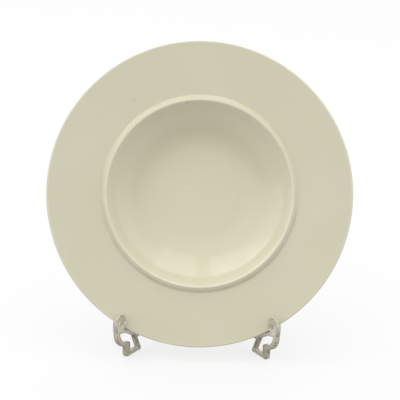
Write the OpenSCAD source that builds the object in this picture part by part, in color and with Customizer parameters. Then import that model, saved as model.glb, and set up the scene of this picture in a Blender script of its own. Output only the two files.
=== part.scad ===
// Wide-rimmed deep dish standing in a folding clear display stand, in millimetres.
// The origin is where the stand's hinge axis meets the table; +Z is up and -Y is the front.
// The dish leans back in two side frames that meet at the hinge pin behind it.

/* [Dish] */
// Outer diameter of the dish
dish_d = 300; // [280:1:320]
// Thickness of the rim at its lip
lip_t = 4.8; // [4:0.1:6]
// Radius of the lip's two edges
lip_edge_r = 1.4; // [1:0.1:1.9]
// Slope of the rim, rising from the bead to the lip
rim_slope = 4.5; // [2:0.5:8]
// Diameter over the crest of the bead round the well
bead_d = 183; // [170:1:195]
// Height of the bead above the rim
bead_h = 3.4; // [3:0.1:4.5]
// Radius of the bead's crest
bead_crest_r = 1.6; // [1.2:0.1:2]
// Slope of the bead's outer side just below its crest
bead_top_slope = 26; // [20:1:32]
// Distance from the crest to the shoulder, where the bead's outer side steepens
bead_shoulder_run = 3.2; // [2.8:0.1:3.6]
// Radius of that shoulder
bead_shoulder_r = 6; // [3:0.5:8]
// Slope of the bead's outer flank below the shoulder
bead_flank = 42; // [38:1:48]
// Radius of the hollow between the bead's flank and the rim
bead_hollow_r = 2.5; // [1.5:0.5:3]
// Depth of the well below the bead's crest
well_depth = 34; // [30:1:38]
// Slope of the well's wall
well_slope = 41; // [38:1:44]
// Radius between the well's wall and its floor
well_floor_r = 38; // [30:1:45]
// Slope of the wall's top part, just below the bead
well_top_slope = 47; // [45:1:52]
// Distance from the bead's crest in to the bend where the wall steepens to its top part
well_top_run = 9.5; // [8:0.5:12]
// Radius of the bend between the wall and its top part
well_shoulder_r = 60; // [30:5:70]
// Thickness of the well's wall and floor
wall_t = 6; // [5:0.5:7]
// Radius between the back of the well and the back of the rim
back_hollow_r = 9; // [4:1:12]
// Slope of the belly between the foot ring and the well's wall
belly_slope = 22; // [16:1:26]
// Outer diameter of the foot ring on the back
foot_d = 104; // [90:1:112]
// Width of the foot ring
foot_w = 6; // [5:0.5:8]
// Height of the foot ring above the back of the floor
foot_h = 4; // [3:0.5:6]
// Height of the foot ring's outer side, up to the belly
foot_side_h = 8; // [7:0.5:10]
// Angle by which the dish leans back from upright
lean = 20; // [18:0.5:22]

/* [Side frames] */
// Angle of each side frame from the centre plane
wing_angle = 31.5; // [28:0.5:34]
// Thickness of the side frames
frame_t = 4.8; // [4:0.1:5.5]
// Distance from the hinge axis to a frame's inner face
fold_gap = 2.15; // [2:0.05:3]
// Distance from the hinge axis to the point of the cradle under the lip
seat_u = 126; // [120:0.5:132]
// Height of the cradle's top under the lip
seat_z = 28.8; // [26:0.1:32]
// Width of the cradle under the lip
cradle_w = 3; // [2.5:0.1:4]
// Run of the cradle from the point under the lip back to the arm
cradle_run = 7.5; // [6.5:0.5:9]
// Fall of the cradle over that run
cradle_fall = 4.4; // [3.5:0.1:5]
// Rise of the cradle's top across its thickness, in front of that point, where it follows the lip
rest_rise = 1.7; // [1.2:0.1:1.9]
// Width of the strand that curls up in front of the dish
strand_w = 6.3; // [5.8:0.1:6.8]
// Width of that strand at its root in the front post
strand_root_w = 2.6; // [2.4:0.1:4]
// Height of the strand's root above the centre of the post's round top
strand_root_h = 0.8; // [0.4:0.1:1.2]
// Rise of the strand from its root to its lower bend
strand_rise = 3.5; // [2.5:0.1:4.5]
// Height of the hook's top edge
hook_top = 46.8; // [44:0.2:50]
// Distance of the hook's front strand in front of the point under the lip
strand_ahead = 14.2; // [13.5:0.1:16]
// Radius of the front strand's lower bend
strand_bend_r = 17; // [14:0.5:18]
// Radius of the hook's bend at the top of the front strand
hook_front_r = 4.8; // [4.4:0.1:5.5]
// Height of the hook's lower end above the cradle's top
hook_base_h = 2.4; // [2:0.1:3]
// Distance of the front post behind the point under the lip
post_behind = 2.2; // [1.5:0.1:3]
// Width of the front post
post_w = 6.4; // [5.8:0.1:8]
// Height of the front post's centre at its round top
post_top = 12; // [11:0.1:13]
// Length of the foot rail on the table
foot_rail_l = 25; // [22:0.5:27]
// Height of the foot rail
foot_rail_h = 3.4; // [3:0.1:5]
// Width of the heel bar that rises from the foot rail's rear corner
heel_bar_w = 3.2; // [2.8:0.1:5]
// Distance of the heel bar's top behind the point under the lip
heel_behind = 13; // [12.4:0.2:15]
// Height of the heel bar's top above the lower rail's centre
heel_rise = 3.7; // [3:0.1:5]
// Height of the lower rail's centre
low_rail_z = 17.3; // [16:0.1:19]
// Width of the lower rail
low_rail_w = 4; // [3:0.1:5]
// Width of the sloping arm
arm_w = 5; // [4:0.1:6]
// Bend radius at the arm's top
arm_bend_r = 9; // [6:0.5:12]
// Distance from the hinge axis to the centre of the upright rear bar
rear_bar_u = 8; // [7.5:0.1:10]
// Width of the upright rear bar
rear_bar_w = 4.4; // [3.5:0.1:4.6]

/* [Hinge] */
// Diameter of the hinge pin
pin_d = 3.2; // [2.6:0.1:3.6]
// Radial clearance of the pin in its knuckles
pin_clearance = 0.05; // [0.02:0.01:0.1]
// Outer diameter of the knuckles
knuckle_d = 8.4; // [7.6:0.1:9]
// Height of one knuckle
knuckle_h = 7.8; // [6:0.1:9]
// Gap between neighbouring knuckles, and between them and the pin's heads
knuckle_gap = 0.3; // [0.2:0.05:0.5]
// Diameter of the pin's head and foot
pin_head_d = 7; // [6:0.1:8]
// Height of the pin's head and foot
pin_head_h = 2; // [1.5:0.1:3]

/* [Fits] */
// Gap between the dish and what carries it
seat_gap = 0.25; // [0.15:0.05:0.6]
// Gap between the front of the rim and the hooks
hook_gap = 0.4; // [0.3:0.05:1]

/* [Hidden] */
$fn = 96;

// Points of an outline whose corners [x, y, radius] are rounded; a radius of 0 stays sharp
arc_step = 4;
function unit(v) = v / norm(v);
function turn(a, b) = atan2(a[0] * b[1] - a[1] * b[0], a * b);
function corner(p, q, s) =
    let (a = unit([q[0] - p[0], q[1] - p[1]]), b = unit([s[0] - q[0], s[1] - q[1]]),
         bend = turn(a, b), side = sign(bend), r = q[2], reach = r * tan(abs(bend) / 2),
         start = [q[0], q[1]] - a * reach, to_centre = side * [-a[1], a[0]],
         steps = max(1, ceil(abs(bend) / arc_step)))
    r == 0 || bend == 0 ? [[q[0], q[1]]] :
    [for (i = [0:steps])
        let (t = bend * i / steps)
        start + to_centre * r - r * [cos(t) * to_centre[0] - sin(t) * to_centre[1],
                                     sin(t) * to_centre[0] + cos(t) * to_centre[1]]];
function rounded_loop(pts) =
    let (n = len(pts))
    [for (i = [0:n - 1], p = corner(pts[(i + n - 1) % n], pts[i], pts[(i + 1) % n])) p];

// Outline of a band [x, y, radius, width] that follows a line with rounded corners
function band_nodes(pts) =
    let (n = len(pts))
    [for (i = [0:n - 1])
        let (c = i == 0 || i == n - 1 ? [[pts[i][0], pts[i][1]]] : corner(pts[i - 1], pts[i], pts[i + 1]))
        for (p = c) [p[0], p[1], pts[i][3]]];
function band_edge(c, side) =
    let (n = len(c))
    [for (i = [0:n - 1])
        let (a = c[max(i - 1, 0)], b = c[min(i + 1, n - 1)], d = unit([b[0] - a[0], b[1] - a[1]]))
        [c[i][0] - side * d[1] * c[i][2] / 2, c[i][1] + side * d[0] * c[i][2] / 2]];
module band(pts) {
    c = band_nodes(pts);
    left = band_edge(c, 1);
    right = band_edge(c, -1);
    n = len(c);
    polygon(concat(left, [for (i = [n - 1:-1:0]) right[i]]));
}

// Profile of the dish, lying on its foot ring: radius and height
dish_r = dish_d / 2;
lip_r = lip_t / 2;
floor_z = foot_h + wall_t;
crest_z = floor_z + well_depth;
rim_z = crest_z - bead_h;
// The crest's sharp corner lies above its rounded top
crest_half = (well_top_slope + bead_top_slope) / 2;
crest_corner_h = bead_crest_r * (cos((well_top_slope - bead_top_slope) / 2) / cos(crest_half) - 1);
crest_corner = [bead_d / 2, crest_z + crest_corner_h];
bead_shoulder = crest_corner + bead_shoulder_run * [1, -tan(bead_top_slope)];
flank_run = (bead_shoulder[1] - rim_z) / (tan(bead_flank) + tan(rim_slope));
bead_foot = [bead_shoulder[0] + flank_run, rim_z + flank_run * tan(rim_slope)];
lip_top_z = bead_foot[1] + (dish_r - bead_foot[0]) * tan(rim_slope);
lip_z = lip_top_z - lip_r;
well_shoulder_x = crest_corner[0] - well_top_run;
well_shoulder = [well_shoulder_x, crest_corner[1] - well_top_run * tan(well_top_slope)];
wall_run = (well_shoulder[1] - floor_z) / tan(well_slope);
well_corner = [well_shoulder[0] - wall_run, floor_z];
// The wall's back is parallel to its front; the rim's back is parallel to its top
back_shift = wall_t / sin(well_slope);
rim_back_drop = lip_t / cos(rim_slope);
rim_back_at_axis = lip_top_z - rim_back_drop - dish_r * tan(rim_slope);
wall_back_at_axis = floor_z - (well_corner[0] + back_shift) * tan(well_slope);
back_corner_r = (rim_back_at_axis - wall_back_at_axis) / (tan(well_slope) - tan(rim_slope));
back_corner = [back_corner_r, rim_back_at_axis + back_corner_r * tan(rim_slope)];
// The belly runs from the foot ring out to the wall's back, and bends into it along most of its length
foot_edge_r = 1.2;
foot_side_r = 1;
foot_root_r = 2;
foot_draft = 1.5;
foot_top = [foot_d / 2 + foot_draft, foot_side_h];
belly_corner_r = (foot_top[1] - foot_top[0] * tan(belly_slope) - wall_back_at_axis)
    / (tan(well_slope) - tan(belly_slope));
belly_corner = [belly_corner_r, wall_back_at_axis + belly_corner_r * tan(well_slope)];
belly_bend_share = 0.8;
belly_r = belly_bend_share * norm(belly_corner - foot_top) / tan((well_slope - belly_slope) / 2);

module dish_profile() {
    polygon(rounded_loop([
        [0, floor_z, 0],
        [well_corner[0], well_corner[1], well_floor_r],
        [well_shoulder[0], well_shoulder[1], well_shoulder_r],
        [crest_corner[0], crest_corner[1], bead_crest_r],
        [bead_shoulder[0], bead_shoulder[1], bead_shoulder_r],
        [bead_foot[0], bead_foot[1], bead_hollow_r],
        [dish_r, lip_top_z, lip_edge_r],
        [dish_r, lip_top_z - lip_t, lip_edge_r],
        [back_corner[0], back_corner[1], back_hollow_r],
        [belly_corner[0], belly_corner[1], belly_r],
        [foot_top[0], foot_top[1], foot_side_r],
        [foot_d / 2, 0, foot_edge_r],
        [foot_d / 2 - foot_w, 0, foot_edge_r],
        [foot_d / 2 - foot_w - foot_draft, foot_h, foot_root_r],
        [0, foot_h, 0]
    ]));
}

// Place of the dish: the middle of its lip circle, found from the cradles that its lip rests in
lip_circle_r = dish_r - lip_r;
seat_off = fold_gap + frame_t / 2;
seat_x = seat_off * cos(wing_angle) + seat_u * sin(wing_angle);
seat_y = seat_off * sin(wing_angle) - seat_u * cos(wing_angle);
seat_turn = asin(seat_x / lip_circle_r);
// Over the frame's inner face the lip hangs lower than over its middle
lip_fall = tan(seat_turn) * cos(lean) * frame_t / 2 * cos(wing_angle);
// The lip's rear edge is its lowest, and hangs lower than its middle by this
lip_run = sqrt(1 - pow(sin(seat_turn) * cos(lean), 2));
lip_half_height = ((lip_r - lip_edge_r) * (sin(lean) + cos(seat_turn) * cos(lean)) / lip_run + lip_edge_r) / lip_run;
dish_y = seat_y + lip_circle_r * cos(seat_turn) * sin(lean);
dish_z = seat_z + seat_gap + lip_fall + lip_half_height + lip_circle_r * cos(seat_turn) * cos(lean);

module dish() {
    color("lemonchiffon")
    translate([0, dish_y, dish_z]) rotate([90 - lean, 0, 0]) translate([0, 0, -lip_z])
        rotate_extrude($fn = 240) dish_profile();
}

// Where the foot ring's outer edge passes over a frame's inner face, as distance from the axis and height
foot_y = dish_y + lip_z * cos(lean);
foot_z = dish_z - lip_z * sin(lean);
edge_r = foot_d / 2;
cross_x = edge_r * cos(wing_angle);
cross_y = edge_r * sin(lean) * sin(wing_angle);
cross_off = fold_gap - foot_y * sin(wing_angle);
edge_turn = atan2(cross_y, cross_x) + asin(cross_off / norm([cross_x, cross_y]));
edge_y = foot_y - edge_r * cos(edge_turn) * sin(lean);
edge_u = edge_r * sin(edge_turn) * sin(wing_angle) - edge_y * cos(wing_angle);
edge_z = foot_z - edge_r * cos(edge_turn) * cos(lean);

// Centre lines of a side frame in its own plane: distance from the hinge axis and height
post_u = seat_u - post_behind;
strand_u = seat_u + strand_ahead;
heel_foot = [post_u + (post_w + heel_bar_w) / 2 - foot_rail_l, heel_bar_w / 2];
hook_z = hook_top - strand_w / 2;
cradle_z = seat_z - cradle_w / 2;
cradle_end = [seat_u - cradle_run, cradle_z - cradle_fall];
// The arm's underside starts flush with the cradle's
arm_foot = cradle_end + [0, (arm_w - cradle_w) / 2];
heel_top = [seat_u - heel_behind, low_rail_z + heel_rise];
heel_share = (low_rail_z - heel_foot[1]) / (heel_top[1] - heel_foot[1]);
low_rail_end = heel_foot[0] + heel_share * (heel_top[0] - heel_foot[0]);
// The hook's inner strand follows the front of the rim at hook_gap; its outer corner comes nearest
hook_slant = atan(tan(lean) / cos(wing_angle));
rim_front_y = dish_y - dish_z * tan(lean) - lip_r / cos(lean) - hook_gap;
rim_front_u = ((fold_gap + frame_t) * sin(wing_angle) - rim_front_y) / cos(wing_angle);
function inner_u(z) = rim_front_u - z * tan(hook_slant) + strand_w / 2 / cos(hook_slant);
hook_base_z = seat_z + hook_base_h;
cradle_front_z = (hook_base_z + seat_z) / 2;
// The hook's two bands overlap a little at the top, where its front bend ends
band_lap = 0.5;
hook_split_u = strand_u - hook_front_r;
hook_rear_r = (hook_split_u - band_lap - inner_u(hook_z)) / tan(45 + hook_slant / 2);
// The arm's centre line passes under the foot ring's edge at seat_gap
arm_dir_len = norm([arm_foot[0] - edge_u, edge_z - arm_foot[1]]);
arm_angle = atan2(edge_z - arm_foot[1], arm_foot[0] - edge_u) - asin((arm_w / 2 + seat_gap) / arm_dir_len);
arm_top_z = arm_foot[1] + (arm_foot[0] - rear_bar_u) * tan(arm_angle);
// The knuckles end below the arm's bend
knuckle_top = arm_top_z - arm_bend_r * tan(45 + arm_angle / 2);
cradle_bend_r = 12;
// The bevel that follows the lip runs along the cradle's front part, from just behind its bend into the hook
rest_run = [inner_u(hook_base_z) - seat_u, cradle_front_z - cradle_z];
rest_start = -1;
// Its inner edge lies this much under the cradle's top
rest_sink = 0.3;
heel_bend_r = 4;

// End of a band that stands on the table: its line is carried on below, to be cut off flat
function below_table(foot, top, w) = let (p = foot + w * unit(foot - top)) [p[0], p[1], 0, w];

module side_frame_outline() {
    intersection() {
        union() {
            // Front post on its foot
            translate([post_u - post_w / 2, post_w / 2]) square([post_w, post_top - post_w / 2]);
            translate([post_u, post_top]) circle(d = post_w);
            translate([post_u, post_w / 2]) circle(d = post_w);
            // Hook, from the post up and over to the front of the rim
            band([
                [post_u, post_top + strand_root_h, 0, strand_root_w],
                [strand_u, post_top + strand_root_h + strand_rise, strand_bend_r, (strand_root_w + strand_w) / 2],
                [strand_u, hook_z, hook_front_r, strand_w],
                [hook_split_u - band_lap, hook_z, 0, strand_w]
            ]);
            band([
                [hook_split_u, hook_z, 0, strand_w],
                [inner_u(hook_z), hook_z, hook_rear_r, strand_w],
                [inner_u(hook_base_z), hook_base_z, 0, strand_w]
            ]);
            translate([inner_u(hook_base_z), hook_base_z]) circle(d = strand_w);
            // Cradle under the lip, and the heel bar down to the foot rail
            band([
                [inner_u(hook_base_z), cradle_front_z, 0, cradle_w],
                [seat_u, cradle_z, cradle_bend_r, cradle_w],
                [cradle_end[0], cradle_end[1], heel_bend_r, cradle_w],
                [heel_top[0], heel_top[1], heel_bend_r, heel_bar_w],
                [heel_foot[0], heel_foot[1], 0, heel_bar_w]
            ]);
            translate(heel_foot) circle(d = heel_bar_w);
            translate(arm_foot) circle(d = arm_w);
            // Foot rail
            translate([heel_foot[0], 0]) square([post_u - heel_foot[0], foot_rail_h]);
            // Lower rail
            translate([rear_bar_u, low_rail_z - low_rail_w / 2])
                square([low_rail_end - rear_bar_u, low_rail_w]);
            // Sloping arm and upright rear bar
            band([
                [arm_foot[0], arm_foot[1], 0, arm_w],
                [rear_bar_u, arm_top_z, arm_bend_r, rear_bar_w],
                below_table([rear_bar_u, 0], [rear_bar_u, arm_top_z], rear_bar_w)
            ]);
        }
        square([strand_u + strand_w, hook_top + arm_top_z]);
    }
}

// Bevelled top of the cradle, higher on the frame's outer face, because the lip rises outwards
module lip_rest() {
    translate([seat_u, cradle_z, fold_gap]) rotate([0, 0, atan2(rest_run[1], rest_run[0])])
        translate([rest_start, 0, 0]) rotate([90, 0, 90]) linear_extrude(norm(rest_run) - rest_start)
            polygon([[0, 0], [cradle_w / 2 - rest_sink, 0], [cradle_w / 2 + rest_rise, frame_t], [0, frame_t]]);
}

// A knuckle and the leaf that joins it to the upright rear bar
module knuckle(z) {
    rotate([0, 0, 270 - wing_angle]) translate([0, 0, z])
        linear_extrude(knuckle_h) {
            circle(d = knuckle_d);
            translate([0, -fold_gap - leaf_t]) square([rear_bar_u, leaf_t]);
        }
}

module side_frame(low_knuckle, high_knuckle) {
    difference() {
        union() {
            rotate([0, 0, 270 - wing_angle]) rotate([90, 0, 0]) {
                translate([0, 0, fold_gap]) linear_extrude(frame_t) side_frame_outline();
                lip_rest();
            }
            for (z = [low_knuckle, high_knuckle]) knuckle(z);
        }
        translate([0, 0, -cut]) cylinder(r = pin_d / 2 + pin_clearance, h = knuckle_top + 2 * cut);
    }
}

// The leaves that carry the knuckles are a little thinner than the frames
leaf_t = 0.75 * frame_t;
// How far a cut runs past what it cuts
cut = 1;
low_start = pin_head_h + knuckle_gap;
knuckle_pitch = knuckle_h + knuckle_gap;
high_start = knuckle_top - knuckle_h - knuckle_pitch;

module left_side_frame() {
    color("gainsboro", 0.5) side_frame(low_start, high_start);
}

module right_side_frame() {
    color("gainsboro", 0.5) mirror([1, 0, 0])
        side_frame(low_start + knuckle_pitch, high_start + knuckle_pitch);
}

// The pin stands on a flat foot and is closed by a domed head
module hinge_pin() {
    head_z = knuckle_top + knuckle_gap;
    dome_r = (pow(pin_head_d / 2, 2) + pow(pin_head_h, 2)) / (2 * pin_head_h);
    color("gainsboro", 0.5) {
        cylinder(d = pin_head_d, h = pin_head_h);
        cylinder(d = pin_d, h = head_z + pin_head_h / 2);
        intersection() {
            translate([0, 0, head_z + pin_head_h - dome_r]) sphere(r = dome_r);
            translate([0, 0, head_z]) cylinder(r = dome_r, h = pin_head_h);
        }
    }
}

dish();
left_side_frame();
right_side_frame();
hinge_pin();
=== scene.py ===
"""A cream glazed deep dish leaning back in a clear plastic stand that folds on a hinge pin, in metres."""

from math import asin, atan2, ceil, copysign, cos, hypot, pi, radians, sin, tan

import bpy
from mathutils import Matrix, Vector


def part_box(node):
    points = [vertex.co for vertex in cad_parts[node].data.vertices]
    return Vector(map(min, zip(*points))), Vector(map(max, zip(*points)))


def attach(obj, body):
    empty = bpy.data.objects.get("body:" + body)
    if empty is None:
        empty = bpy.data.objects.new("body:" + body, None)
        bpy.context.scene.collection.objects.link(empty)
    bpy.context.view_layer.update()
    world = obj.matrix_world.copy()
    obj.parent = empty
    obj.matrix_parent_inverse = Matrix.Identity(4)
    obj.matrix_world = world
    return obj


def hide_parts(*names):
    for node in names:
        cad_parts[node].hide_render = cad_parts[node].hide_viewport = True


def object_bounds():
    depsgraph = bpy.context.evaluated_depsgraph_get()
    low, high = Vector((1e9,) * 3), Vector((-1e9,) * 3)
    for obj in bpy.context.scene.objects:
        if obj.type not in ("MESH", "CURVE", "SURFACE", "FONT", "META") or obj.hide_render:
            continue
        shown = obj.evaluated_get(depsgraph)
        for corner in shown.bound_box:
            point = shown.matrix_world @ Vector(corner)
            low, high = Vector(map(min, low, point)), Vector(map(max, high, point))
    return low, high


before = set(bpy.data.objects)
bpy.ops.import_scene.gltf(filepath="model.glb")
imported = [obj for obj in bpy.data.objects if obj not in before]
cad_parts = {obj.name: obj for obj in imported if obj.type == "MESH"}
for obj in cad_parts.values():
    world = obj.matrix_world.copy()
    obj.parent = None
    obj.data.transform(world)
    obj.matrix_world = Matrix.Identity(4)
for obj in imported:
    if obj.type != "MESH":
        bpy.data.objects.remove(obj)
solid_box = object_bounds()
bpy.ops.object.select_all(action="DESELECT")

# Hinge pin
# The stand's pin is a rod of clear plastic with a flat foot below and a domed head above.
# It is turned from rod, and its edges are broken so that it slips through the knuckles.
pin_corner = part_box("hinge_pin")[1]
PIN_H = pin_corner.z
PIN_HEAD_R = pin_corner.x
PIN_HEAD_H = 0.002
PIN_R = 0.0016
PIN_BREAK = 0.0003
PIN_STEPS = 48
PIN_SMOOTH = radians(40)
PIN_WAVE_SCALE = 120
DOME_STEPS = 6
ARC_STEP = radians(4)
SAME_PLACE = 0.000001


def rounded(corners):
    """Points of an outline whose corners (x, y, radius) are rounded off by arcs; both ends have radius 0."""
    points = []
    for i, (x, y, radius) in enumerate(corners):
        here = Vector((x, y))
        if radius == 0:
            points.append(here)
            continue
        way_in = (here - Vector(corners[i - 1][:2])).normalized()
        way_out = (Vector(corners[i + 1][:2]) - here).normalized()
        bend = atan2(way_in.x * way_out.y - way_in.y * way_out.x, way_in.dot(way_out))
        start = here - way_in * radius * tan(abs(bend) / 2)
        to_centre = copysign(1, bend) * Vector((-way_in.y, way_in.x))
        steps = max(1, ceil(abs(bend) / ARC_STEP))
        for step in range(steps + 1):
            arm = Matrix.Rotation(bend * step / steps, 2) @ to_centre
            points.append(start + radius * (to_centre - arm))
    return points


def lathe(name, outline, steps):
    """Turns an outline of (radius, height) points round the Z axis."""
    bpy.ops.object.select_all(action="DESELECT")
    bpy.ops.mesh.primitive_plane_add()
    piece = bpy.context.object
    piece.name = name
    bpy.ops.object.mode_set(mode="EDIT")
    bpy.ops.mesh.merge(type="CENTER")
    bpy.ops.transform.translate(value=(outline[0].x, 0, outline[0].y))
    for a, b in zip(outline, outline[1:]):
        bpy.ops.mesh.extrude_vertices_move(TRANSFORM_OT_translate={"value": (b.x - a.x, 0, b.y - a.y)})
    bpy.ops.mesh.select_all(action="SELECT")
    bpy.ops.mesh.spin(steps=steps, angle=2 * pi, center=(0, 0, 0), axis=(0, 0, 1))
    bpy.ops.mesh.select_all(action="SELECT")
    bpy.ops.mesh.remove_doubles(threshold=SAME_PLACE)
    bpy.ops.mesh.normals_make_consistent(inside=False)
    bpy.ops.object.mode_set(mode="OBJECT")
    return piece


def pick(piece):
    """Makes a piece the active one, and the only one selected."""
    bpy.ops.object.select_all(action="DESELECT")
    piece.select_set(True)
    bpy.context.view_layer.objects.active = piece


def finished(piece, material, body, node, smooth_angle):
    """Shades, paints and seats a piece that stands for a CAD node."""
    pick(piece)
    bpy.ops.object.shade_smooth_by_angle(angle=smooth_angle)
    piece.data.materials.clear()
    piece.data.materials.append(material)
    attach(piece, body)
    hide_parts(node)


def join(tree, value, socket):
    """Gives a socket a plain value, or links another node's output to it."""
    if isinstance(value, bpy.types.NodeSocket):
        tree.links.new(value, socket)
    else:
        socket.default_value = value


def feed(tree, node, **values):
    """Feeds a node's inputs by their names."""
    for name, value in values.items():
        join(tree, value, node.inputs[name.replace("_", " ")])


def new_node(tree, kind, choices=None, **values):
    """A shader node whose own choices are made before its inputs are fed."""
    node = tree.nodes.new(kind)
    for name, choice in (choices or {}).items():
        setattr(node, name, choice)
    feed(tree, node, **values)
    return node


def math_node(tree, operation, *values):
    """The result of one sum, product or the like."""
    node = new_node(tree, "ShaderNodeMath", {"operation": operation})
    for socket, value in zip(node.inputs, values):
        join(tree, value, socket)
    return node.outputs["Value"]


def soft_step(tree, value, low, high):
    """Rises smoothly from 0 at low to 1 at high."""
    smooth = {"interpolation_type": "SMOOTHSTEP"}
    step = new_node(tree, "ShaderNodeMapRange", smooth, Value=value, From_Min=low, From_Max=high)
    return step.outputs["Result"]


def noise(tree, place, scale, detail):
    """A cloudy value that drifts about 0.5 from place to place."""
    return new_node(tree, "ShaderNodeTexNoise", Vector=place, Scale=scale, Detail=detail).outputs["Fac"]


def bumped(tree, height, depth, **under):
    """The surface's normal with a relief of the given height and depth on it."""
    bump = new_node(tree, "ShaderNodeBump", Strength=1, Distance=depth, Height=height, **under)
    return bump.outputs["Normal"]


def painted(tree, mask, under, over):
    """The colour under, with the colour over laid on it where the mask is 1."""
    mix = new_node(tree, "ShaderNodeMix", {"data_type": "RGBA"}, Factor=mask, A=under, B=over)
    return mix.outputs["Result"]


def new_material(name):
    """A material with its node tree and its main shader."""
    material = bpy.data.materials.new(name)
    material.use_nodes = True
    return material, material.node_tree, material.node_tree.nodes["Principled BSDF"]


def new_group(name, inputs, output, kind):
    """A shader group with the inputs {name: kind} and one output; also its given values and its result."""
    group = bpy.data.node_groups.new(name, "ShaderNodeTree")
    for label, label_kind in inputs.items():
        group.interface.new_socket(label, in_out="INPUT", socket_type=f"NodeSocket{label_kind}")
    group.interface.new_socket(output, in_out="OUTPUT", socket_type=f"NodeSocket{kind}")
    given = group.nodes.new("NodeGroupInput").outputs
    result = group.nodes.new("NodeGroupOutput").inputs[output]
    return group, given, result


def from_group(tree, group, **values):
    """What a group puts out in a material that gives it its own values."""
    return new_node(tree, "ShaderNodeGroup", {"node_tree": group}, **values).outputs[0]


RIPPLE_DETAIL = 2
# the plastic is painted darker and browner: fully up to the low height, not at all from the high one on, and
# less so in patches
DARK_FULL_BELOW = 0.012
DARK_GONE_ABOVE = 0.036
DARK_PATCH_SCALE = 160
DARK_PATCH_DETAIL = 4
DARK_PATCH_SHARE = 0.35
DARK_PATCH_FROM = 0.3
DARK_PATCH_TO = 0.6


def ripple_group():
    """Waves of two sizes in a moulded or glazed surface, as a normal."""
    waves = {"Scale": "Float", "Depth": "Float", "Fine Scale": "Float", "Fine Depth": "Float"}
    inputs = {"Vector": "Vector", **waves, "Normal": "Vector"}
    group, given, result = new_group("surface ripple", inputs, "Normal", "Vector")
    normal = given["Normal"]
    for scale, depth in (("Scale", "Depth"), ("Fine Scale", "Fine Depth")):
        height = noise(group, given["Vector"], given[scale], RIPPLE_DETAIL)
        normal = bumped(group, height, given[depth], Normal=normal)
    join(group, normal, result)
    return group


def dark_low_group():
    """How much darker and browner the plastic is painted: full at the feet, gone above them, weaker in
    patches.
    """
    inputs = {"Vector": "Vector", "Low": "Float", "High": "Float", "Scale": "Float"}
    group, given, result = new_group("darker low down", inputs, "Darkening", "Float")
    height = new_node(group, "ShaderNodeSeparateXYZ", Vector=given["Vector"]).outputs["Z"]
    low_down = soft_step(group, height, given["High"], given["Low"])
    patchiness = noise(group, given["Vector"], given["Scale"], DARK_PATCH_DETAIL)
    patches = math_node(group, "MULTIPLY", soft_step(group, patchiness, DARK_PATCH_FROM, DARK_PATCH_TO), DARK_PATCH_SHARE)
    darkening = math_node(group, "ADD", patches, 1 - DARK_PATCH_SHARE)
    join(group, math_node(group, "MULTIPLY", low_down, darkening), result)
    return group


RIPPLE = ripple_group()
DARK_LOW = dark_low_group()
PLASTIC_TINT = (0.72, 0.68, 0.57, 1)
DARK_LOW_TINT = (0.44, 0.385, 0.29, 1)
# painted shade: the dark colour painted along the moulding's corners
CORNER_PAINTED_SHADE = (0.26, 0.23, 0.21, 1)
# the shares of a cut corner between which its painted dark line of shade comes in
CORNER_FROM = 0.25
CORNER_FULL = 0.75
CORNER_WEIGHT = 0.9
PLASTIC_CLEAR = 0.6
PLASTIC_IOR = 1.49
PLASTIC_ROUGHNESS = 0.10
RUBBED_ROUGHNESS = 0.15
# rubbed patches: how fine they are, how broken up, and the noise from which they show
RUB_SCALE = 260
RUB_DETAIL = 5
RUB_FROM = 0.45
RUB_FULL = 0.75
PLASTIC_WAVES = {"Depth": 0.00003, "Fine_Scale": 500, "Fine_Depth": 0.000001}


def clear_plastic(name, wave_scale):
    """Clear moulded plastic, a little smoky, with flow waves and rubbed patches, painted darker towards its
    feet and with painted shade along its corners.
    """
    material, tree, shader = new_material(name)
    place = new_node(tree, "ShaderNodeTexCoord").outputs["Object"]
    # the plastic is painted darker and browner towards its feet, less so in patches
    darkening = from_group(tree, DARK_LOW, Vector=place, Low=DARK_FULL_BELOW, High=DARK_GONE_ABOVE, Scale=DARK_PATCH_SCALE)
    colour = painted(tree, darkening, PLASTIC_TINT, DARK_LOW_TINT)
    # painted shade: a moulding's corners turn the light away, so dark lines are painted along them
    corner = new_node(tree, "ShaderNodeAttribute", {"attribute_name": "corner"}).outputs["Fac"]
    line = math_node(tree, "MULTIPLY", soft_step(tree, corner, CORNER_FROM, CORNER_FULL), CORNER_WEIGHT)
    colour = painted(tree, line, colour, CORNER_PAINTED_SHADE)
    skin = new_node(tree, "ShaderNodeNewGeometry").outputs["Normal"]
    waves = from_group(tree, RIPPLE, Vector=place, Normal=skin, Scale=wave_scale, **PLASTIC_WAVES)
    rub = new_node(
        tree,
        "ShaderNodeMapRange",
        Value=noise(tree, place, RUB_SCALE, RUB_DETAIL),
        From_Min=RUB_FROM,
        From_Max=RUB_FULL,
        To_Min=PLASTIC_ROUGHNESS,
        To_Max=RUBBED_ROUGHNESS,
    )
    feed(tree, shader, Base_Color=colour, Normal=waves, Roughness=rub.outputs["Result"])
    feed(tree, shader, IOR=PLASTIC_IOR, Transmission_Weight=PLASTIC_CLEAR)
    return material


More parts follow.
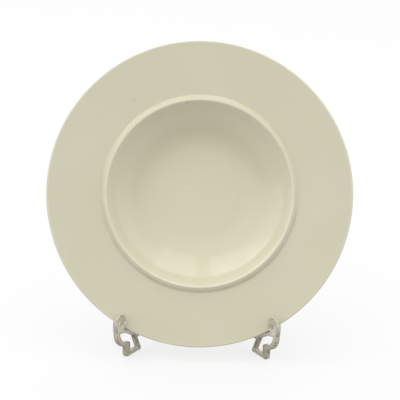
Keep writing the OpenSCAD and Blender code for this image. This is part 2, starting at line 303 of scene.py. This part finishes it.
head_base = PIN_H - PIN_HEAD_H
dome_r = (PIN_HEAD_R**2 + PIN_HEAD_H**2) / (2 * PIN_HEAD_H)
dome_half = asin(PIN_HEAD_R / dome_r)
dome_angles = [dome_half * (1 - step / DOME_STEPS) for step in range(1, DOME_STEPS + 1)]
dome = [Vector((dome_r * sin(angle), PIN_H - dome_r + dome_r * cos(angle))) for angle in dome_angles]
pin_outline = rounded(
    [
        (0, 0, 0),
        (PIN_HEAD_R, 0, PIN_BREAK),
        (PIN_HEAD_R, PIN_HEAD_H, PIN_BREAK),
        (PIN_R, PIN_HEAD_H, PIN_BREAK),
        (PIN_R, head_base, PIN_BREAK),
        (PIN_HEAD_R, head_base, 0),
    ]
)
pin = lathe("clear_hinge_pin", pin_outline + dome, PIN_STEPS)
pin_plastic = clear_plastic("clear turned plastic", PIN_WAVE_SCALE)
finished(pin, pin_plastic, "hinge_pin", "hinge_pin", PIN_SMOOTH)

# Side frames
# Each frame is one flat moulding of clear plastic: foot, hook, cradle, rails and two hinge knuckles.
# The mould rounds every edge, so the strands look like soft rods and gather the light along their middles.
SKIN_CELL = 0.0004
SOFTENING_PASSES = 20
SOFTENING_SHARE = 0.5
SKIN_PROUD = 0.00035
# how far the softening moves a point where a corner counts as wholly cut away
CORNER_CUT = 0.00035
# distances from the hinge axis: the edges soften from the first to the second, and the bore lies in its zone
SOFT_FROM = 0.0048
SOFT_FULL = 0.0060
BORE_R = 0.00165
BORE_ZONE = 0.0023
CAD_SAME_PLACE = 0.000002
FRAME_SMOOTH = radians(50)
FRAME_WAVE_SCALE = 70


def reshape(piece, kind, **settings):
    """Applies a modifier with the given settings."""
    modifier = piece.modifiers.new(kind, kind)
    for name, setting in settings.items():
        setattr(modifier, name, setting)
    bpy.ops.object.modifier_apply(modifier=modifier.name)


def moulded_frame(name, node):
    """A copy of a frame's solid with its edges rounded, apart from the knuckles, which keep their fit."""
    piece = bpy.data.objects.new(name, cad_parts[node].data.copy())
    bpy.context.scene.collection.objects.link(piece)
    pick(piece)
    bpy.ops.object.mode_set(mode="EDIT")
    bpy.ops.mesh.select_all(action="SELECT")
    bpy.ops.mesh.remove_doubles(threshold=CAD_SAME_PLACE)
    bpy.ops.object.mode_set(mode="OBJECT")
    reshape(piece, "REMESH", mode="VOXEL", voxel_size=SKIN_CELL)

    # the bore stays round, and the knuckles round it stay as they are
    soft = piece.vertex_groups.new(name="soft edges")
    for vertex in piece.data.vertices:
        from_axis = hypot(vertex.co.x, vertex.co.y)
        if from_axis < BORE_ZONE:
            vertex.co.x *= BORE_R / from_axis
            vertex.co.y *= BORE_R / from_axis
        weight = min(1, max(0, (from_axis - SOFT_FROM) / (SOFT_FULL - SOFT_FROM)))
        soft.add([vertex.index], weight, "REPLACE")

    # each point keeps how much of a corner was cut away there, for the plastic's painted dark lines of shade
    sharp = [vertex.co.copy() for vertex in piece.data.vertices]
    reshape(piece, "SMOOTH", vertex_group=soft.name, factor=SOFTENING_SHARE, iterations=SOFTENING_PASSES)
    corner = piece.data.attributes.new("corner", "FLOAT", "POINT")
    for vertex, was, cut in zip(piece.data.vertices, sharp, corner.data):
        cut.value = min(1, (vertex.co - was).length / CORNER_CUT)

    # the section gets back what the softening took, within the solid's box
    reshape(piece, "DISPLACE", vertex_group=soft.name, mid_level=0, strength=SKIN_PROUD)
    low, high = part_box(node)
    for vertex in piece.data.vertices:
        vertex.co = [min(max(at, least), most) for at, least, most in zip(vertex.co, low, high)]
    return piece


frame_plastic = clear_plastic("clear moulded plastic", FRAME_WAVE_SCALE)
for side in ("left", "right"):
    node = f"{side}_side_frame"
    piece = moulded_frame(f"clear_{node}", node)
    finished(piece, frame_plastic, f"{side}_frame", node, FRAME_SMOOTH)

# Dish
# One piece of cream glazed earthenware: wide rim, bead, deep round well and a foot ring on the back.
# It is jiggered on a mould, glazed all over and wiped clean where the foot ring stands in the kiln.
# The sizes are the solid's own, but the outside lies this little inside it.
INSIDE_CAD = 0.0001
DISH_R = solid_box[1][0] - INSIDE_CAD
LIP_T = 0.0048
LIP_EDGE_R = 0.0014
RIM_SLOPE = radians(4.5)
BEAD_R = 0.0915
BEAD_H = 0.0034
BEAD_CREST_R = 0.0016
BEAD_TOP_SLOPE = radians(26)
BEAD_SHOULDER_RUN = 0.0032
BEAD_SHOULDER_R = 0.006
BEAD_FLANK = radians(42)
BEAD_HOLLOW_R = 0.0025
WELL_DEPTH = 0.034
WELL_SLOPE = radians(41)
WELL_FLOOR_R = 0.038
WELL_TOP_SLOPE = radians(47)
WELL_TOP_RUN = 0.0095
WELL_SHOULDER_R = 0.060
WALL_T = 0.006
BACK_HOLLOW_R = 0.009
BELLY_SLOPE = radians(22)
BELLY_BEND_SHARE = 0.8
FOOT_R = 0.052
FOOT_W = 0.006
FOOT_H = 0.004
FOOT_SIDE_H = 0.008
FOOT_DRAFT = 0.0015
FOOT_EDGE_R = 0.0012
FOOT_SIDE_R = 0.001
FOOT_ROOT_R = 0.002
LEAN = radians(20)
TILT = pi / 2 - LEAN
DISH_STEPS = 288
DISH_SMOOTH = radians(40)


def dish_outline():
    """Outline of the dish lying on its foot ring, and the height of the middle of its lip."""
    floor = FOOT_H + WALL_T
    crest = floor + WELL_DEPTH
    half = (WELL_TOP_SLOPE + BEAD_TOP_SLOPE) / 2
    crest_z = crest + BEAD_CREST_R * (cos((WELL_TOP_SLOPE - BEAD_TOP_SLOPE) / 2) / cos(half) - 1)
    shoulder_r = BEAD_R + BEAD_SHOULDER_RUN
    shoulder_z = crest_z - BEAD_SHOULDER_RUN * tan(BEAD_TOP_SLOPE)
    flank_run = (shoulder_z - crest + BEAD_H) / (tan(BEAD_FLANK) + tan(RIM_SLOPE))
    bead_foot = shoulder_r + flank_run
    bead_foot_z = crest - BEAD_H + flank_run * tan(RIM_SLOPE)
    lip_top = bead_foot_z + (DISH_R - bead_foot) * tan(RIM_SLOPE)
    well_shoulder = BEAD_R - WELL_TOP_RUN
    well_shoulder_z = crest_z - WELL_TOP_RUN * tan(WELL_TOP_SLOPE)
    well_r = well_shoulder - (well_shoulder_z - floor) / tan(WELL_SLOPE)
    rim_back = lip_top - LIP_T / cos(RIM_SLOPE) - DISH_R * tan(RIM_SLOPE)
    wall_back = floor - (well_r + WALL_T / sin(WELL_SLOPE)) * tan(WELL_SLOPE)
    back_r = (rim_back - wall_back) / (tan(WELL_SLOPE) - tan(RIM_SLOPE))
    foot_top_r = FOOT_R + FOOT_DRAFT
    belly_r = (FOOT_SIDE_H - foot_top_r * tan(BELLY_SLOPE) - wall_back) / (tan(WELL_SLOPE) - tan(BELLY_SLOPE))
    belly_z = wall_back + belly_r * tan(WELL_SLOPE)
    belly_run = hypot(belly_r - foot_top_r, belly_z - FOOT_SIDE_H)
    corners = [
        (0, floor, 0),
        (well_r, floor, WELL_FLOOR_R),
        (well_shoulder, well_shoulder_z, WELL_SHOULDER_R),
        (BEAD_R, crest_z, BEAD_CREST_R),
        (shoulder_r, shoulder_z, BEAD_SHOULDER_R),
        (bead_foot, bead_foot_z, BEAD_HOLLOW_R),
        (DISH_R, lip_top, LIP_EDGE_R),
        (DISH_R, lip_top - LIP_T, LIP_EDGE_R),
        (back_r, rim_back + back_r * tan(RIM_SLOPE), BACK_HOLLOW_R),
        (belly_r, belly_z, BELLY_BEND_SHARE * belly_run / tan((WELL_SLOPE - BELLY_SLOPE) / 2)),
        (foot_top_r, FOOT_SIDE_H, FOOT_SIDE_R),
        (FOOT_R, 0, FOOT_EDGE_R),
        (FOOT_R - FOOT_W, 0, FOOT_EDGE_R),
        (FOOT_R - FOOT_W - FOOT_DRAFT, FOOT_H, FOOT_ROOT_R),
        (0, FOOT_H, 0),
    ]
    return rounded(corners), lip_top - LIP_T / 2


# the middle of the lip, found from how far the leaning lip reaches up and forward in the solid
outline, lip_z = dish_outline()
reach_up = max(point.x * cos(LEAN) + (point.y - lip_z) * sin(LEAN) for point in outline)
reach_front = max(point.x * sin(LEAN) + (point.y - lip_z) * cos(LEAN) for point in outline)
dish_low, dish_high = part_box("dish")
centre_y = dish_low.y + reach_front + INSIDE_CAD * sin(LEAN)
centre_z = dish_high.z - reach_up - INSIDE_CAD * cos(LEAN)
DISH_CENTRE = Vector((0, centre_y, centre_z))

dish = lathe("glazed_dish", outline, DISH_STEPS)
tilted = Matrix.Rotation(TILT, 4, "X")
dish.matrix_world = Matrix.Translation(DISH_CENTRE) @ tilted @ Matrix.Translation((0, 0, -lip_z))
bpy.ops.object.transform_apply(location=True, rotation=True, scale=True)

GLAZE = (0.584, 0.554, 0.407, 1)
# the rim's glaze is painted a little darker than the well's: painted shade
GLAZE_RIM_PAINTED_SHADE = (0.542, 0.515, 0.379, 1)
GLAZE_PALE = (0.680, 0.650, 0.520, 1)
GLAZE_POOL = (0.480, 0.460, 0.255, 1)
BISQUE = (0.62, 0.55, 0.44, 1)
SPECK = (0.16, 0.13, 0.08, 1)
GLAZE_ROUGHNESS = 0.10
CLOUD_DULLER = 0.03
BISQUE_DULLER = 0.7

# where one tone begins and where it is full, as radii or heights
RIM_SHADE_SPAN = (BEAD_R - 0.001, BEAD_R + 0.006)
LIP_THIN = (DISH_R - 0.003, DISH_R - 0.0005)
FOOT_BARE = (0.0009 - lip_z, 0.0004 - lip_z)
# rings of thin or pooled glaze, each by its middle radius and half its width; the pale ring on the bead's
# crest is partly thin glaze and partly a painted highlight
CREST_THIN_AND_HIGHLIGHT = (BEAD_R - 0.0003, 0.0016)
HOLLOW_POOL = (BEAD_R + 0.0050, 0.0032)
FLOOR_POOL = (0.062, 0.014)
THIN_AND_HIGHLIGHT_WEIGHT = 0.45
HOLLOW_WEIGHT = 0.55
FLOOR_WEIGHT = 0.07

# soft clouds and glaze runs: how fine they are, how broken up, and the noise from which each shows
CLOUD_SCALE = 14
CLOUD_DETAIL = 3
CLOUD_SHOWS = (0.40, 0.70)
CLOUD_WEIGHT = 0.10
RUN_SCALE = 26
RUN_DETAIL = 4
RUN_SHOWS = (0.42, 0.66)

# kiln specks, and last a faint mark near the middle of the well: x, y, radius, weight, tone
SPECKS = (
    (-0.0657, 0.0902, 0.0006, 0.75, SPECK),
    (-0.0143, 0.0883, 0.0006, 0.60, SPECK),
    (0.1123, -0.0310, 0.0004, 0.40, SPECK),
    (0.0392, 0.1267, 0.0004, 0.35, SPECK),
    (-0.0134, 0.0062, 0.0016, 0.45, GLAZE_PALE),
)
SPECK_EDGE = 1.3
SPECK_CORE = 0.5

# turning rings of the body, and slow waves and orange peel of the glaze over them
RING_SCALE = 240
RING_DETAIL = 1
RING_DEPTH = 0.00003
GLAZE_WAVES = {"Scale": 22, "Depth": 0.0004, "Fine_Scale": 400, "Fine_Depth": 0.000006}


def band(tree, value, middle, half_width):
    """1 at the middle, falling softly to 0 at half_width on either side."""
    off = math_node(tree, "ABSOLUTE", math_node(tree, "SUBTRACT", value, middle))
    return soft_step(tree, off, half_width, 0)


def away_from(tree, x, y):
    """Distance of the point (x, y) from the axis."""
    squares = [math_node(tree, "MULTIPLY", side, side) for side in (x, y)]
    return math_node(tree, "SQRT", math_node(tree, "ADD", *squares))


def pooled_glaze(tree, place, radius):
    """How much glaze ran together in the hollow outside the bead and round the floor of the well."""
    runs = soft_step(tree, noise(tree, place, RUN_SCALE, RUN_DETAIL), *RUN_SHOWS)
    run_weight = math_node(tree, "MULTIPLY", runs, HOLLOW_WEIGHT)
    in_hollow = math_node(tree, "MULTIPLY", band(tree, radius, *HOLLOW_POOL), run_weight)
    round_floor = math_node(tree, "MULTIPLY", band(tree, radius, *FLOOR_POOL), FLOOR_WEIGHT)
    return math_node(tree, "ADD", in_hollow, round_floor)


def specked(tree, colour, x, y):
    """The colour with the kiln specks on it."""
    for speck_x, speck_y, size, weight, tone in SPECKS:
        off_x = math_node(tree, "SUBTRACT", x, speck_x)
        off_y = math_node(tree, "SUBTRACT", y, speck_y)
        spot = soft_step(tree, away_from(tree, off_x, off_y), SPECK_EDGE * size, SPECK_CORE * size)
        colour = painted(tree, math_node(tree, "MULTIPLY", spot, weight), colour, tone)
    return colour


def cream_glaze():
    """Cream glaze: painted shade on the rim, thin on lip and crest (partly a painted highlight), pooled in
    hollows, wiped off the foot ring.
    """
    material, tree, shader = new_material("cream glaze")
    place = new_node(tree, "ShaderNodeTexCoord").outputs["Object"]
    seat = {"Location": DISH_CENTRE, "Rotation": (TILT, 0, 0)}
    laid_flat = new_node(tree, "ShaderNodeMapping", {"vector_type": "TEXTURE"}, Vector=place, **seat)
    lying = laid_flat.outputs["Vector"]
    x, y, z = new_node(tree, "ShaderNodeSeparateXYZ", Vector=lying).outputs
    radius = away_from(tree, x, y)
    clouds = soft_step(tree, noise(tree, lying, CLOUD_SCALE, CLOUD_DETAIL), *CLOUD_SHOWS)
    bare = soft_step(tree, z, *FOOT_BARE)

    # painted shade: the rim is painted darker than the well
    colour = painted(tree, soft_step(tree, radius, *RIM_SHADE_SPAN), GLAZE, GLAZE_RIM_PAINTED_SHADE)
    colour = painted(tree, math_node(tree, "MULTIPLY", clouds, CLOUD_WEIGHT), colour, GLAZE_PALE)
    # lip and crest painted paler as thin glaze; on the crest this is partly a painted highlight
    thin_and_highlight = math_node(tree, "MAXIMUM", soft_step(tree, radius, *LIP_THIN), band(tree, radius, *CREST_THIN_AND_HIGHLIGHT))
    colour = painted(tree, math_node(tree, "MULTIPLY", thin_and_highlight, THIN_AND_HIGHLIGHT_WEIGHT), colour, GLAZE_PALE)
    colour = painted(tree, pooled_glaze(tree, lying, radius), colour, GLAZE_POOL)
    colour = painted(tree, bare, specked(tree, colour, x, y), BISQUE)

    # glossy, a little duller in the clouds and dry on the bare clay
    gloss = math_node(tree, "ADD", math_node(tree, "MULTIPLY", clouds, CLOUD_DULLER), GLAZE_ROUGHNESS)
    roughness = math_node(tree, "ADD", gloss, math_node(tree, "MULTIPLY", bare, BISQUE_DULLER))

    ring = {"noise_dimensions": "1D"}
    rings = new_node(tree, "ShaderNodeTexNoise", ring, W=radius, Scale=RING_SCALE, Detail=RING_DETAIL)
    turned = bumped(tree, rings.outputs["Fac"], RING_DEPTH)
    waves = from_group(tree, RIPPLE, Vector=lying, Normal=turned, **GLAZE_WAVES)
    feed(tree, shader, Base_Color=colour, Roughness=roughness, Normal=waves)
    return material


finished(dish, cream_glaze(), "dish", "dish", DISH_SMOOTH)

# Table
# A plain white table top, wide enough to fill the picture, with a soft trace of shadow under the stand.
# It looks white to the camera, in gloss and through the plastic, and throws little light up at the dish.
TABLE_SIZE = 12
TABLE_WHITE = (0.62, 0.62, 0.62, 1)
TABLE_BOUNCE = (0.25, 0.25, 0.25, 1)
TABLE_GLOW = 0.75
TABLE_ROUGHNESS = 0.9

bpy.ops.mesh.primitive_plane_add(size=TABLE_SIZE, location=(0, 0, solid_box[0][2]))
table = bpy.context.object
table.name = "table_top"
table_white, tree, matt = new_material("white table top")
seen = new_node(tree, "ShaderNodeLightPath").outputs
mirrored = math_node(tree, "MAXIMUM", seen["Is Glossy Ray"], seen["Is Transmission Ray"])
clear_view = math_node(tree, "MAXIMUM", seen["Is Camera Ray"], mirrored)
feed(tree, matt, Base_Color=painted(tree, clear_view, TABLE_BOUNCE, TABLE_WHITE), Roughness=TABLE_ROUGHNESS)
glow = new_node(tree, "ShaderNodeEmission")
mixed = new_node(tree, "ShaderNodeMixShader", Fac=math_node(tree, "MULTIPLY", clear_view, TABLE_GLOW))
join(tree, matt.outputs["BSDF"], mixed.inputs[1])
join(tree, glow.outputs["Emission"], mixed.inputs[2])
join(tree, mixed.outputs["Shader"], tree.nodes["Material Output"].inputs["Surface"])
table.data.materials.append(table_white)

# Light
# A pale room, a little lighter overhead and to the left, with three windows in its ceiling.
# The windows lie above and behind the dish, and show in the gloss of its well.
ROOM_LIGHT = 1.18
ROOM_FROM_ABOVE = 0.22
ROOM_FROM_LEFT = 0.47
ROOM_WHITE = 1.0
WINDOW_HEIGHT = 1.5

scene = bpy.context.scene
scene.view_settings.view_transform = "Standard"
world = bpy.data.worlds.new("pale room")
scene.world = world
world.use_nodes = True
tree = world.node_tree
direction = new_node(tree, "ShaderNodeTexCoord").outputs["Generated"]
toward = new_node(tree, "ShaderNodeSeparateXYZ", Vector=direction).outputs
light = ROOM_LIGHT
for axis, share in ((toward["Z"], ROOM_FROM_ABOVE), (toward["X"], -ROOM_FROM_LEFT)):
    extra = math_node(tree, "MAXIMUM", math_node(tree, "MULTIPLY", axis, share), 0)
    light = math_node(tree, "ADD", extra, light)
to_camera = new_node(tree, "ShaderNodeLightPath").outputs["Is Camera Ray"]
strength = new_node(tree, "ShaderNodeMix", Factor=to_camera, A=light, B=ROOM_WHITE).outputs["Result"]
feed(tree, tree.nodes["Background"], Color=(1, 1, 1, 1), Strength=strength)


def window(name, left, right, front, back, radiance):
    """A window in the ceiling, over the given stretch of the table, that shines straight down."""
    width, depth = right - left, back - front
    lamp = bpy.data.lights.new(name, "AREA")
    lamp.shape = "RECTANGLE"
    lamp.size = width
    lamp.size_y = depth
    lamp.energy = radiance * pi * width * depth
    holder = bpy.data.objects.new(name, lamp)
    holder.location = ((left + right) / 2, (front + back) / 2, WINDOW_HEIGHT)
    scene.collection.objects.link(holder)


window("left window", left=-0.95, right=-0.22, front=0.12, back=0.8, radiance=1.25)
window("far left window", left=-2.0, right=-1.0, front=0.12, back=0.8, radiance=1.7)
window("right window", left=0.02, right=0.8, front=-0.15, back=0.8, radiance=1.0)

# Camera
# The picture is taken from 1.3 m in front, 18 degrees above the dish's middle, a little out of level.
# The dish's width and middle in the picture, both in pixels, give the lens and the aim.
CAMERA_FAR = 1.3
CAMERA_RISE = radians(18)
CAMERA_ROLL = radians(1.2)
PICTURE = 400
DISH_PX = 306.9
DISH_CENTRE_PX = (199.67, 193.32)
SENSOR_MM = 36
focal_px = CAMERA_FAR / (2 * DISH_R / DISH_PX)

back = Vector((0, -cos(CAMERA_RISE), sin(CAMERA_RISE)))
level = Vector((1, 0, 0))
upward = Vector((0, sin(CAMERA_RISE), cos(CAMERA_RISE)))
across = cos(CAMERA_ROLL) * level + sin(CAMERA_ROLL) * upward
up = cos(CAMERA_ROLL) * upward - sin(CAMERA_ROLL) * level
off_x, off_y = ((px - PICTURE / 2) / focal_px * CAMERA_FAR for px in DISH_CENTRE_PX)
camera_data = bpy.data.cameras.new("camera")
camera_data.sensor_width = SENSOR_MM
camera_data.lens = focal_px * SENSOR_MM / PICTURE
camera = bpy.data.objects.new("camera", camera_data)
scene.collection.objects.link(camera)
camera.matrix_world = Matrix.LocRotScale(
    DISH_CENTRE + back * CAMERA_FAR - across * off_x + up * off_y,
    Matrix((across, up, back)).transposed().to_quaternion(),
    None,
)
scene.camera = camera
